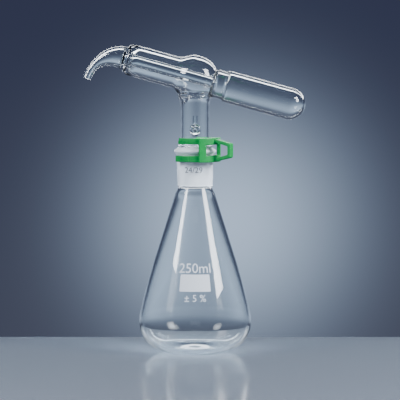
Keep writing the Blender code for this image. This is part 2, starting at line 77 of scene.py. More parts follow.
FLASK_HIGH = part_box("flask_body")[1]
SOCKET_LOW, SOCKET_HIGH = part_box("ground_socket")
CONE_LOW, CONE_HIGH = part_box("ground_cone")
STEM_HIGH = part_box("stem_tube")[1]
VENT_LOW, VENT_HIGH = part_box("vent_tube")
CHAMBER_LOW, CHAMBER_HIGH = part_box("measuring_chamber")
UPPER_LOW, UPPER_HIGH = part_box("clip_upper_front_arm")
LOWER_LOW, LOWER_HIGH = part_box("clip_lower_front_arm")

FLASK_RADIUS = FLASK_HIGH.x
NECK_WELD = (FLASK_HIGH.z + SOCKET_LOW.z) / 2
SOCKET_MOUTH = SOCKET_HIGH.z
FLANGE_RADIUS = SOCKET_HIGH.x
CONE_FOOT = CONE_LOW.z
BEAD_RADIUS = CONE_HIGH.x
STEM_RADIUS = STEM_HIGH.x
STEM_WELD = STEM_HIGH.z
VENT_RADIUS = VENT_HIGH.x
CLIP_TOP = UPPER_HIGH.z
CLIP_UPPER_FOOT = UPPER_LOW.z
CLIP_LOWER_TOP = LOWER_HIGH.z
CLIP_FOOT = LOWER_LOW.z

ARM_TILT = math.radians(15.4)       # the chamber's side hangs down by this
ALONG = np.array((math.cos(ARM_TILT), 0.0, -math.sin(ARM_TILT)))


def arm_span(node):
    """First and last place along the arm, and the radius, of a straight round node."""
    low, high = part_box(node)
    radius = (high.y - low.y) / 2
    middle = (low.x + high.x) / 2 / math.cos(ARM_TILT)
    length = (high.x - low.x - 2 * radius * math.sin(ARM_TILT)) / math.cos(ARM_TILT)
    return middle - length / 2, middle + length / 2, radius


JACKET_START, BULB_END, DELIVERY_RADIUS = arm_span("delivery_tube")
_, COLLAR_END, COLLAR_RADIUS = arm_span("seal_collar")
BULB_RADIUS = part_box("bulb_and_jacket")[1].y
SPOUT_ROOT_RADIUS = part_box("spout")[1].y
CHAMBER_RADIUS = CHAMBER_HIGH.y
CHAMBER_BALL = Vector((CHAMBER_HIGH.x - CHAMBER_RADIUS, 0, CHAMBER_LOW.z + CHAMBER_RADIUS))
ARM_HEIGHT = CHAMBER_BALL.z + CHAMBER_BALL.x * math.tan(ARM_TILT)
CHAMBER_END = CHAMBER_BALL.x / math.cos(ARM_TILT) + CHAMBER_RADIUS


# ---------------------------------------------------------------- fixed details

JOINT_TAPER = 0.05          # the ground joint's radius changes by this for each unit of length
GROUND_GAP = 0.0003         # between the ground surfaces of cone and socket
POLISH = 0.0005             # fire-polished round at the spout's cut end
SWELL_REACH = 0.0026        # half height of the stem's swell under its weld
GROOVE_REACH = 0.0005       # half height of the groove in it
PLAIN_STEM_TOP = 0.186      # the stem is straight up to here
TUBE_SEAL_ROUND = 0.0018    # round where the delivery tube is sealed to the jacket's ends
WELD_EDGE = 0.0004          # the socket starts this far above the weld's middle
MOUTH_EDGE = 0.0004         # flat rim round the socket's mouth
BAND_END = 0.0002           # the ground surface stops this far under the mouth
SPOUT_LAP = 0.0006          # the arm's outline starts this far inside the spout's root
SEAL_RUN = 0.0018           # the bulb's seal runs this far past the bulb's end
SEAL_DIP = 0.0005           # and draws in by this
SOFTENED = 0.0006           # rounded edges of the cone's foot and bead
VENT_RUN = 0.0042           # straight way in of the vent, before its bend
VENT_ROUND = 0.0007         # round of the vent's ring
VENT_WALL = 0.0013          # of the ring; the tube's wall is VENT_THINNER less
VENT_THINNER = 0.0006
PORT_LENGTH, PORT_WIDTH, PORT_MIDDLE = 0.0070, 0.0046, -0.0065
HANDLE_SUNK = 0.0015        # the handle's root inside the clip's back
CHAMFER = 0.0008            # of the handle's outer corners
RIB_RADIUS = 0.0004
RIB_SUNK = 0.00012          # a rib's middle lies this far inside the jaw's surface
RIB_SHORTER = 0.0009        # than the ring is high
MARK_THICKNESS = 0.00006
MARK_MESH = 0.0012          # spacing of the cuts that let a mark follow the glass

POOL_AZIMUTH = math.radians(0.6)    # direction of the pool of light from the origin
POOL_ELEVATION = math.radians(-4.4)
GLASS_HAZE = 0.05           # share of the pool's light in the dark, seen through glass
GLASS_GLOW = 0.66           # brightness of the pool's middle, seen through glass
GLASS_SIDES = 0.50          # how much brighter it is to either side, seen through glass
SIDES_FROM = math.radians(3.0)
SOFTBOXES = (               # name, place, width, height and power
    ("left_softbox", (-0.82, -0.47, 0.73), 0.25, 0.48, 15),
    ("right_softbox", (0.84, -0.45, 0.66), 0.36, 0.56, 24),
    ("back_softbox", (0.15, 1.30, 0.52), 1.9, 0.13, 6))
SOFTBOX_AIM = (0, 0, 0.15)
CAMERA_PLACE = (0.0037, -1.773, 0.2345)
CAMERA_LENS = 210.4
CAMERA_DOWN = math.radians(3.84)
BENCH_LEFT, BENCH_RIGHT, BENCH_FRONT, BENCH_BACK = -1.6, 1.6, -2.4, 0.085
BENCH_THICK = 0.05


# ---------------------------------------------------------------- settings

def millimetres(name, text, default):
    return FloatProperty(name=name, description=text, default=default / 1000,
                         unit="LENGTH", precision=5)


def degrees(name, text, default):
    return FloatProperty(name=name, description=text, default=math.radians(default),
                         subtype="ANGLE")


def colour(name, text, default):
    return FloatVectorProperty(name=name, description=text, default=default,
                               size=3, subtype="COLOR", min=0.0, max=1.0)


class FlaskSettings(bpy.types.PropertyGroup):
    wall: millimetres("Wall", "Thickness of the flask's side", 1.9)
    heel_wall: millimetres("Heel Wall", "Thickness of the glass round the foot", 2.6)
    heel_radius: millimetres("Heel Radius", "Round from the foot into the side", 22.6)
    shoulder_radius: millimetres("Shoulder Radius", "Quick turn above the widest place", 34.0)
    side_radius: millimetres("Side Radius", "Slow curve that runs into the cone", 484.0)
    shoulder_turn: degrees("Shoulder Turn", "How far the quick turn goes", 12.6)
    push_up: millimetres("Push-up", "Rise of the foot's middle above the bench", 1.4)
    weld_groove: millimetres("Weld Groove", "Depth of the groove where the socket begins", 0.7)
    segments: IntProperty(name="Segments", description="Facets round the flask", default=160)


class JointSettings(bpy.types.PropertyGroup):
    wide_radius: millimetres("Wide Radius", "Radius of the ground joint at its mouth", 12.0)
    length: millimetres("Length", "Length of the ground surfaces", 29.0)
    socket_radius: millimetres("Socket Radius", "Outside of the socket under its flange", 14.0)
    foot_radius: millimetres("Foot Radius", "Outside of the socket at its weld", 13.4)
    flange_height: millimetres("Flange Height", "Height of the socket's flange", 6.2)
    bead_height: millimetres("Bead Height", "Height of the cone's bead", 1.5)


class HeadSettings(bpy.types.PropertyGroup):
    wall: millimetres("Wall", "Thickness of the jacket, bulb and chamber", 1.5)
    stem_wall: millimetres("Stem Wall", "Thickness of the stem", 1.8)
    delivery_wall: millimetres("Delivery Wall", "Thickness of the inner tube", 1.0)
    spout_wall: millimetres("Spout Wall", "Thickness of the spout", 1.2)
    jacket_radius: millimetres("Jacket Radius", "Outside of the jacket", 12.0)
    jacket_shoulder: millimetres("Jacket Shoulder", "Length of the jacket's round end", 6.2)
    ramp_start: millimetres("Ramp Start", "Where the jacket's swell starts, left of the stem", 16.0)
    ramp_end: millimetres("Ramp End", "Where the bulb is widest, left of the stem", 3.0)
    bulb_half_length: millimetres("Bulb Half Length", "Bulb's length past its middle, uncut", 17.9)
    spout_run: millimetres("Spout Run", "Straight start of the spout", 1.6)
    spout_bend: millimetres("Spout Bend", "Radius of the spout's bend", 22.2)
    spout_tip_run: millimetres("Spout Tip Run", "Straight end of the spout", 4.4)
    spout_tip_radius: millimetres("Spout Tip Radius", "Outside of the spout's tip", 3.2)
    spout_taper: millimetres("Spout Taper", "Length over which the spout narrows", 29.5)
    spout_down: degrees("Spout Angle", "How far the spout's tip points below level", 64.5)
    left_fillet: millimetres("Left Fillet", "Reach of the fillet under the jacket", 6.0)
    right_fillet: millimetres("Right Fillet", "Reach of the fillet under the bulb", 2.0)
    weld_swell: millimetres("Weld Swell", "Swell of the stem under its weld", 1.1)
    weld_groove: millimetres("Weld Groove", "Depth of the groove at the weld", 0.6)
    vent_bend: millimetres("Vent Bend", "Radius of the vent tube's bend", 3.6)
    vent_rise: millimetres("Vent Rise", "Straight end of the vent tube", 6.4)
    vent_tube_radius: millimetres("Vent Tube Radius", "Outside of the vent tube", 1.8)
    segments: IntProperty(name="Segments", description="Facets round the arm", default=96)


class ClipSettings(bpy.types.PropertyGroup):
    azimuth: degrees("Azimuth", "Direction of the handle", -34.5)
    upper_inner: millimetres("Upper Inner", "Inside of the upper ring", 11.3)
    upper_outer: millimetres("Upper Outer", "Outside of the upper jaws", 14.2)
    lower_inner: millimetres("Lower Inner", "Inside of the lower ring", 14.3)
    lower_outer: millimetres("Lower Outer", "Outside of the lower jaws", 16.5)
    web_inner: millimetres("Web Inner", "Inside of the webs", 16.6)
    web_outer: millimetres("Web Outer", "Outside of the clip's back", 19.4)
    web_width: millimetres("Web Width", "Width of each web", 5.8)
    web_angle: degrees("Web Angle", "From the handle to a web", 38)
    jaw_end: degrees("Jaw End", "From the handle to a jaw's end", 121)
    rib_start: degrees("Rib Start", "From the handle to the first rib", 47)
    ribs: IntProperty(name="Ribs", description="Ribs on each jaw", default=17)
    reach: millimetres("Handle Reach", "From the neck's middle to the handle's end", 33.2)
    end_height: millimetres("Handle Height", "Height of the handle's end", 11.2)
    bar: millimetres("Handle Bar", "Thickness of the handle's bars", 2.4)
    handle_width: millimetres("Handle Width", "Width of the handle", 4.8)
    grain: millimetres("Mesh Size", "Fineness of the moulding's surface", 0.3)
    tint: colour("Plastic", "Colour of the clip", (0.0, 0.29, 0.06))


class MarkSettings(bpy.types.PropertyGroup):
    volume: StringProperty(name="Volume", description="Generic volume", default="250ml")
    tolerance: StringProperty(name="Tolerance", description="Generic tolerance", default="± 5 %")
    joint: StringProperty(name="Joint", description="Generic joint size", default="24/29")
    enamel: colour("Enamel", "Colour of the fired marks", (0.82, 0.88, 0.97))
    ink: colour("Ink", "Colour of the joint's size", (0.05, 0.07, 0.12))


class StageSettings(bpy.types.PropertyGroup):
    floor: colour("Floor", "Colour of the floor", (0.20, 0.235, 0.285))
    pool: colour("Pool of Light", "Backdrop where it is brightest", (0.50, 0.645, 0.86))
    low_dark: colour("Low Backdrop", "Backdrop away from the pool, low down", (0.060, 0.068, 0.105))
    high_dark: colour("High Backdrop", "Backdrop above", (0.034, 0.040, 0.078))
    pool_spread: degrees("Pool Spread", "Half width of the pool of light, seen directly", 2.7)
    glass_spread: degrees("Glass Spread", "Its half width, seen through glass", 34)
    glass_rise: degrees("Glass Rise", "Its half height, seen through glass", 3.0)


# ---------------------------------------------------------------- outlines

class Pen:
    """Draws an outline of straight and round stretches, and keeps its headings."""

    def __init__(self, x, y, heading=0.0):
        self.heading = heading
        self.length = 0.0
        self.stations = [(x, y, heading, 0.0)]

    def move(self, distance, steps=1):
        """Go straight on."""
        for _ in range(steps):
            x, y, _, _ = self.stations[-1]
            self.length += distance / steps
            x += distance / steps * math.cos(self.heading)
            y += distance / steps * math.sin(self.heading)
            self.stations.append((x, y, self.heading, self.length))
        return self

    def turn(self, radius, angle, steps):
        """Go round an arc, to the left for a positive angle."""
        step = angle / steps
        chord = 2 * radius * math.sin(abs(step) / 2)
        for _ in range(steps):
            x, y, _, _ = self.stations[-1]
            x += chord * math.cos(self.heading + step / 2)
            y += chord * math.sin(self.heading + step / 2)
            self.heading += step
            self.length += radius * abs(step)
            self.stations.append((x, y, self.heading, self.length))
        return self


def ease(t):
    """Smooth step from 0 to 1, of a number or an array."""
    t = np.clip(t, 0.0, 1.0)
    return t * t * (3 - 2 * t)


def between(first, last, count):
    return np.linspace(first, last, count)


def bow(start, end, steps, upright_first=True):
    """Points of a quarter ellipse between two points, upright at one end, level at the other."""
    points = []
    for step in range(1, steps + 1):
        angle = math.pi / 2 * step / steps
        if upright_first:
            share = (1 - math.cos(angle), math.sin(angle))
        else:
            share = (math.sin(angle), 1 - math.cos(angle))
        points.append((start[0] + (end[0] - start[0]) * share[0],
                       start[1] + (end[1] - start[1]) * share[1]))
    return points


def level(first, last, radius, count):
    """Points of a straight run, of one radius."""
    return [(along, radius) for along in between(first, last, count)]


def eased(start, end, first, count):
    """Points from a share of the way on to the end, whose second value eases in and out."""
    return [(start[0] + (end[0] - start[0]) * share,
             start[1] + (end[1] - start[1]) * float(ease(share)))
            for share in between(first, 1.0, count)]


def round_end(middle, radius, count):
    """Points of a round closed end, from near its widest place."""
    return [(middle + radius * math.sin(angle), radius * math.cos(angle))
            for angle in between(0.06, math.pi / 2 - 0.002, count)]


# ---------------------------------------------------------------- mesh helpers

def place(name, data):
    """Add an object that holds the data to the scene."""
    made = bpy.data.objects.new(name, data)
    bpy.context.collection.objects.link(made)
    return made


@contextmanager
def editing(mesh):
    """Edit a mesh as a bmesh and write it back."""
    bm = bmesh.new()
    bm.from_mesh(mesh)
    yield bm
    bm.to_mesh(mesh)
    bm.free()
    mesh.update()


def grid_object(name, rings, closed=False):
    """A closed mesh from rings of points: a tube with capped ends, or a closed hoop."""
    rings = np.asarray(rings)
    count, sides, _ = rings.shape
    faces = []
    for row in range(count if closed else count - 1):
        below = row * sides
        above = (row + 1) % count * sides
        for side in range(sides):
            after = (side + 1) % sides
            faces.append((below + side, below + after, above + after, above + side))
    if not closed:
        faces.append(tuple(range(sides))[::-1])
        faces.append(tuple(range((count - 1) * sides, count * sides)))
    mesh = bpy.data.meshes.new(name)
    mesh.from_pydata(rings.reshape(-1, 3).tolist(), [], faces)
    with editing(mesh) as bm:
        bmesh.ops.remove_doubles(bm, verts=bm.verts, dist=2e-6)
        bmesh.ops.recalc_face_normals(bm, faces=bm.faces)
    return place(name, mesh)


def revolve(name, outline, sides, closed=False):
    """An outline of (radius, height) points turned about the upright axis."""
    angles = np.linspace(0, 2 * math.pi, sides, endpoint=False)
    rings = [np.stack((radius * np.cos(angles), radius * np.sin(angles),
                       np.full(sides, height)), axis=1) for radius, height in outline]
    return grid_object(name, rings, closed)


def sweep(name, stations, sides, closed=False, plane="XZ"):
    """A tube round flat stations of (a, b, heading, radius), in the XZ or the YZ plane."""
    angles = np.linspace(0, 2 * math.pi, sides, endpoint=False)
    rings = []
    for a, b, heading, radius in stations:
        flat = radius * np.cos(angles)
        first = a - math.sin(heading) * flat
        second = b + math.cos(heading) * flat
        across = radius * np.sin(angles)
        columns = (first, across, second) if plane == "XZ" else (across, first, second)
        rings.append(np.stack(columns, axis=1))
    return grid_object(name, rings, closed)


def combine(target, tool, operation):
    """Join or cut the target's mesh with the tool's, exactly, and remove the tool."""
    boolean = target.modifiers.new("Combine", "BOOLEAN")
    boolean.operation = operation
    boolean.object = tool
    boolean.solver = "EXACT"
    settle(target)
    bpy.data.objects.remove(tool, do_unlink=True)


def settle(target):
    """Replace the target's mesh by what its modifiers make, and remove them."""
    graph = bpy.context.evaluated_depsgraph_get()
    mesh = bpy.data.meshes.new_from_object(target.evaluated_get(graph))
    target.modifiers.clear()
    target.data = mesh


def vertices(target):
    points = np.zeros(len(target.data.vertices) * 3)
    target.data.vertices.foreach_get("co", points)
    return points.reshape(-1, 3)


def face_centres(target):
    centres = np.zeros(len(target.data.polygons) * 3)
    target.data.polygons.foreach_get("center", centres)
    return centres.reshape(-1, 3)


def finish_piece(target, looks, body, replaced=(), sharp=40.0):
    """Shade a finished piece and tie it to the frame."""
    target.data.shade_smooth()
    target.data.set_sharp_from_angle(angle=math.radians(sharp))
    target.data.materials.clear()
    for look in looks:
        target.data.materials.append(look)
    if body:
        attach(target, body)
    if replaced:
        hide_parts(*replaced)
    return target


# ---------------------------------------------------------------- shader helpers

class Wire:
    """A shader socket that adds Math nodes when it is used in an expression."""

    def __init__(self, nodes, socket):
        self.nodes = nodes
        self.socket = socket

    def maths(self, operation, *values):
        return self.nodes.add("ShaderNodeMath", {"operation": operation}, values)

    def __add__(self, other):
        return self.maths("ADD", self, other)

    def __sub__(self, other):
        return self.maths("SUBTRACT", self, other)

    def __mul__(self, other):
        return self.maths("MULTIPLY", self, other)

    def __truediv__(self, other):
        return self.maths("DIVIDE", self, other)

    def __rsub__(self, other):
        return self.maths("SUBTRACT", other, self)

    __radd__ = __add__
    __rmul__ = __mul__


class Nodes:
    """A material's or the world's node tree, filled by one method."""

    def __init__(self, owner):
        owner.use_nodes = True
        self.tree = owner.node_tree
        self.tree.nodes.clear()

    def add(self, kind, settings=None, values=(), output=0):
        """Add a node with its settings, then its sockets' values or links, and wire its output."""
        node = self.tree.nodes.new(kind)
        for name, value in (settings or {}).items():
            setattr(node, name, value)
        pairs = values.items() if isinstance(values, dict) else enumerate(values)
        for key, value in pairs:
            if isinstance(value, Wire):
                self.tree.links.new(value.socket, node.inputs[key])
            else:
                node.inputs[key].default_value = value
        return Wire(self, node.outputs[output]) if len(node.outputs) else node

    def object_place(self):
        return self.add("ShaderNodeTexCoord", output="Object")

    def noise(self, where, scale, detail=2.0, roughness=0.5):
        return self.add("ShaderNodeTexNoise", {"noise_dimensions": "3D"},
                        {"Vector": where, "Scale": scale, "Detail": detail,
                         "Roughness": roughness}, output=0)

    def bump(self, height, strength, distance):
        return self.add("ShaderNodeBump", None, {"Strength": strength, "Distance": distance,
                                                 "Height": height})

    def mixed(self, factor, first, second):
        """Two colours mixed."""
        return self.add("ShaderNodeMix", {"data_type": "RGBA"},
                        {0: factor, 6: first, 7: second}, output=2)

    def surface(self, shader):
        self.add("ShaderNodeOutputMaterial", None, {"Surface": shader})


def rgba(shade):
    return (*shade, 1.0)


def new_material(name):
    look = bpy.data.materials.new(name)
    return look, Nodes(look)


# ---------------------------------------------------------------- finishes

def clear_glass(name, waviness):
    """Clear blown glass: faint long waves, and lamps shine through it."""
    look, nodes = new_material(name)
    where = nodes.object_place()
    waves = nodes.noise(where, 55.0, 1.0)
    normal = nodes.bump(waves, waviness, 0.0006)
    glass = nodes.add("ShaderNodeBsdfPrincipled", None, {
        "Base Color": (0.965, 0.985, 0.99, 1.0), "Roughness": 0.0, "IOR": 1.473,
        "Transmission Weight": 1.0, "Normal": normal})
    lamp_light = nodes.add("ShaderNodeBsdfTransparent", None, {"Color": (0.90, 0.93, 0.95, 1.0)})
    shadow = nodes.add("ShaderNodeLightPath", output="Is Shadow Ray")
    nodes.surface(nodes.add("ShaderNodeMixShader", None, (shadow, glass, lamp_light)))
    return look


def ground_glass():
    """Ground joint: white, matt and finely pitted, with some light passing."""
    look, nodes = new_material("ground_glass")
    where = nodes.object_place()
    pits = nodes.noise(where, 5200.0, 3.0, 0.7)
    smears = nodes.noise(where, 160.0, 2.0)
    shade = nodes.mixed(smears, rgba((0.76, 0.81, 0.89)), rgba((0.88, 0.91, 0.98)))
    nodes.surface(nodes.add("ShaderNodeBsdfPrincipled", None, {
        "Base Color": shade, "Roughness": 0.45 + 0.25 * pits, "IOR": 1.473,
        "Transmission Weight": 0.08, "Normal": nodes.bump(pits, 0.35, 0.0002)}))
    return look


def green_plastic(tint):
    """Moulded acetal: satin, faintly mottled, finely textured."""
    look, nodes = new_material("green_acetal")
    where = nodes.object_place()
    grain = nodes.noise(where, 3000.0, 3.0, 0.6)
    mottle = nodes.noise(where, 260.0, 2.0)
    dark = rgba([channel * 0.80 for channel in tint])
    light = rgba([channel * 1.20 for channel in tint])
    nodes.surface(nodes.add("ShaderNodeBsdfPrincipled", None, {
        "Base Color": nodes.mixed(mottle, dark, light),
        "Roughness": 0.28 + 0.16 * grain,
        "Specular IOR Level": 0.28,
        "Normal": nodes.bump(grain, 0.12, 0.0001)}))
    return look


def fired_mark(name, shade, roughness):
    """Fired enamel or ink: matt, with a few pinholes of thinner colour."""
    look, nodes = new_material(name)
    where = nodes.object_place()
    specks = nodes.noise(where, 2400.0, 3.0, 0.7)
    thin = rgba([channel * 0.82 for channel in shade])
    nodes.surface(nodes.add("ShaderNodeBsdfPrincipled", None, {
        "Base Color": nodes.mixed(specks, thin, rgba(shade)),
        "Roughness": roughness + 0.1 * specks,
        "Normal": nodes.bump(specks, 0.15, 0.00005)}))
    return look


# ---------------------------------------------------------------- flask and socket

def flask_profile(settings):
    """The flask's outer and inner lines from the foot's middle to the neck weld."""
    neck = bpy.context.scene.dispenser_joint.foot_radius
    foot = FLASK_RADIUS - settings.heel_radius
    pen = Pen(foot, 0.0)
    pen.turn(settings.heel_radius, math.pi / 2, 40)
    pen.turn(settings.shoulder_radius, settings.shoulder_turn, 8)
    x, y, heading, _ = pen.stations[-1]
    to_neck_x = neck - (x - settings.side_radius * math.sin(heading))
    to_neck_y = NECK_WELD - (y + settings.side_radius * math.cos(heading))
    reach = math.hypot(to_neck_x, to_neck_y)
    cone_turn = math.atan2(to_neck_y, to_neck_x) - math.acos(settings.side_radius / reach)
    pen.turn(settings.side_radius, cone_turn - settings.shoulder_turn, 24)
    x, y, heading, _ = pen.stations[-1]
    pen.move(math.hypot(neck - x, NECK_WELD - y), 12)

    outer = [(x, y) for x, y, _, _ in pen.stations]
    inner = []
    for x, y, heading, _ in pen.stations:
        thin_at = ease(y / settings.heel_radius)
        wall = settings.heel_wall + (settings.wall - settings.heel_wall) * thin_at
        inner.append((x - wall * math.sin(heading), y + wall * math.cos(heading)))
    # The foot's middle is pushed up, so the flask stands on a ring.
    middle = [(foot * share, settings.push_up * (1 - ease(share)))
              for share in between(0.0, 1.0, 14)[:-1]]
    middle[0] = (1e-6, settings.push_up)
    outer = middle + outer
    inner = [(x, y + settings.heel_wall) for x, y in middle] + inner
    return outer, inner


def socket_profile(settings, wall):
    """The socket's outer and inner lines from the weld to the mouth."""
    under = SOCKET_MOUTH - settings.flange_height
    lip = FLANGE_RADIUS - settings.socket_radius
    outer = [(settings.foot_radius, NECK_WELD + WELD_EDGE)]
    for share in (0.15, 0.4, 0.7, 1.0):
        outer.append((settings.foot_radius + (settings.socket_radius - settings.foot_radius)
                      * share, NECK_WELD + (under - NECK_WELD) * share))
    # Under the flange the glass flares; above its rim it falls to the mouth.
    for share in between(0.1, 1.0, 10):
        outer.append((settings.socket_radius + lip * float(ease(share)) ** 0.8,
                      under + 0.52 * settings.flange_height * share))
    for share in between(0.1, 1.0, 10):
        outer.append((FLANGE_RADIUS - (lip + 0.0006) * float(ease(share)),
                      under + settings.flange_height * (0.52 + 0.40 * share)))
    outer += bow(outer[-1], (settings.wide_radius + MOUTH_EDGE, SOCKET_MOUTH), 6)
    narrow = settings.wide_radius - JOINT_TAPER * settings.length
    inner = [(settings.foot_radius - wall - 0.0002, NECK_WELD + WELD_EDGE),
             (narrow + 0.0004, SOCKET_MOUTH - settings.length - 0.0005),
             (narrow, SOCKET_MOUTH - settings.length)]
    for share in between(0.1, 1.0, 10):
        inner.append((narrow + (settings.wide_radius - narrow) * share,
                      SOCKET_MOUTH - settings.length * (1 - share) - GROUND_GAP * share))
    return outer, inner


def mark_ground_band(target, joint, low, gap, slack, flange_foot=math.inf):
    """Give the second material to the joint's tapered surface above a height, and to a flange."""
    centres = face_centres(target)
    height = centres[:, 2]
    radius = np.hypot(centres[:, 0], centres[:, 1])
    line = joint.wide_radius - JOINT_TAPER * (SOCKET_MOUTH - height) - gap
    band = (np.abs(radius - line) < slack) | ((height > flange_foot) & (radius > line))
    band &= (height > low) & (height < SOCKET_MOUTH - BAND_END)
    target.data.polygons.foreach_set("material_index", band.astype(np.int32))


class DISPENSER_OT_flask(bpy.types.Operator):
    """Blow the flask and its socket as one glass body"""
    bl_idname = "dispenser.flask"
    bl_label = "Flask"

    def execute(self, context):
        settings = context.scene.dispenser_flask
        joint = context.scene.dispenser_joint
        outer, inner = flask_profile(settings)
        socket_outer, socket_inner = socket_profile(joint, settings.wall)
        # A groove shows where the socket was welded on.
        neck_x, neck_z = outer[-1]
        outer[-1] = (neck_x - settings.weld_groove, neck_z - 0.00035)
        outer.append((neck_x - settings.weld_groove, neck_z + 0.0002))
        outline = outer + socket_outer + (inner + socket_inner)[::-1]
        flask = revolve("flask_glass", outline, settings.segments, closed=False)

        looks = (clear_glass("clear_borosilicate", 0.10), ground_glass())
        finish_piece(flask, looks, "flask", ("flask_body", "ground_socket"))
        mark_ground_band(flask, joint, NECK_WELD + 0.0005, 0.0, 0.0005,
                         SOCKET_MOUTH - joint.flange_height)
        return {"FINISHED"}


# ---------------------------------------------------------------- dosing head

def arm_place(along):
    return along * math.cos(ARM_TILT), ARM_HEIGHT - along * math.sin(ARM_TILT)


def arm_stations(outline):
    """Stations of (x, z, heading, radius) for an outline of (along, radius) points."""
    return [(*arm_place(along), -ARM_TILT, radius) for along, radius in outline]


def edge_round(distance, size):
    """What a fire-polished edge takes off the radius at a distance from a tube's end."""
    short = max(0.0, 1 - distance / size)
    return size * (1 - math.sqrt(max(0.0, 1 - short * short)))


def spout_stations(settings, inset, past_tip=0.0):
    """Stations from beyond the spout's tip back to its root."""
    pen = Pen(*arm_place(JACKET_START), math.pi - ARM_TILT)
    pen.move(settings.spout_run, 4)
    pen.turn(settings.spout_bend, ARM_TILT + settings.spout_down, 40)
    pen.move(settings.spout_tip_run, 10)
    whole = pen.length
    stations = []
    for x, z, heading, along in pen.stations[1:]:
        share = float(ease(along / settings.spout_taper))
        radius = SPOUT_ROOT_RADIUS + (settings.spout_tip_radius - SPOUT_ROOT_RADIUS) * share
        if not inset:
            radius -= edge_round(whole - along, POLISH)
        stations.append((x, z, heading - math.pi, radius - inset))
    if past_tip:
        x, z, heading, radius = stations[-1]
        stations.append((x - past_tip * math.cos(heading), z - past_tip * math.sin(heading),
                         heading, radius))
    return stations[::-1]


def arm_outline(settings):
    """Outer (along, radius) points from the jacket's spout end to the chamber's round end."""
    jacket = settings.jacket_radius
    start = JACKET_START
    points = [(start - SPOUT_LAP, SPOUT_ROOT_RADIUS), (start, SPOUT_ROOT_RADIUS + 0.0002)]
    points += bow(points[-1], (start + settings.jacket_shoulder, jacket), 12)
    points += level(points[-1][0] + 0.003, -settings.ramp_start - 0.003, jacket, 12)
    points += eased((-settings.ramp_start, jacket), (-settings.ramp_end, BULB_RADIUS), 0.0, 22)
    points += [(settings.bulb_half_length * math.sin(angle), BULB_RADIUS * math.cos(angle))
               for angle in between(-0.1, 0.93, 26)]
    # The bulb's seal draws in a little before it meets the collar.
    collar_start = BULB_END + SEAL_RUN
    seal = eased(points[-1], (collar_start, COLLAR_RADIUS), 0.15, 7)
    points += [(along, radius - SEAL_DIP * math.sin(math.pi * share))
               for (along, radius), share in zip(seal, between(0.15, 1.0, 7))]
    points += level(collar_start + 0.001, COLLAR_END - 0.0009, COLLAR_RADIUS, 5)
    points += eased((COLLAR_END - 0.0008, COLLAR_RADIUS), (COLLAR_END + 0.0012, CHAMBER_RADIUS),
                    0.1, 10)
    ball = CHAMBER_END - CHAMBER_RADIUS
    points += level(COLLAR_END + 0.004, ball, CHAMBER_RADIUS, 14)
    return points + round_end(ball, CHAMBER_RADIUS, 26)


def bore_outline(settings):
    """Inside of the delivery tube, collar and chamber, from the spout to the round end."""
    bore = DELIVERY_RADIUS - settings.delivery_wall
    root = SPOUT_ROOT_RADIUS - settings.spout_wall
    collar = COLLAR_RADIUS - settings.wall
    chamber = CHAMBER_RADIUS - settings.wall
    points = eased((JACKET_START - 0.0030, root), (JACKET_START + 0.0004, bore), 0.0, 14)
    points += level(JACKET_START + 0.002, BULB_END - 0.002, bore, 40)
    points += bow((BULB_END - 0.0008, bore), (BULB_END + 0.0016, collar), 12)
    points += level(BULB_END + 0.002, COLLAR_END - 0.0005, collar, 5)
    points += eased((COLLAR_END, collar), (COLLAR_END + 0.0018, chamber), 0.1, 8)
    ball = CHAMBER_END - CHAMBER_RADIUS
    points += level(COLLAR_END + 0.004, ball, chamber, 14)
    return points + round_end(ball, chamber, 24)


def jacket_cavity_outline(settings):
    """Closed outline of the space between the delivery tube and the jacket and bulb."""
    tube = DELIVERY_RADIUS
    start = JACKET_START + 0.0021
    end = BULB_END - 0.0016
    corner = TUBE_SEAL_ROUND
    outer = [(along, radius - settings.wall) for along, radius in arm_outline(settings)
             if start + settings.jacket_shoulder < along < end - 0.0012]
    left = bow((start, tube + corner), outer[0], 10)[:-1]
    right_start = (end, outer[-1][1] - 0.0022)
    right = bow(right_start, outer[-1], 6)[:-1][::-1]
    inner = level(end - corner, start + corner, tube, 50)
    right_low = bow((end, tube + corner), (end - corner, tube), 6)[:-1]
    left_low = bow((start + corner, tube), (start, tube + corner), 6, upright_first=False)[:-1]
    return (left + outer + right + [right_start, (end, tube + corner)] + right_low + inner
            + left_low + [(start, tube + corner)])


def stem_radius(height):
    """The stem's outside, which swells a little under its weld to the bulb."""
    settings = bpy.context.scene.dispenser_head
    swell = np.exp(-((height - STEM_WELD) / SWELL_REACH) ** 2)
    groove = np.exp(-((height - STEM_WELD - GROOVE_REACH) / GROOVE_REACH) ** 2)
    return STEM_RADIUS + settings.weld_swell * swell - settings.weld_groove * groove


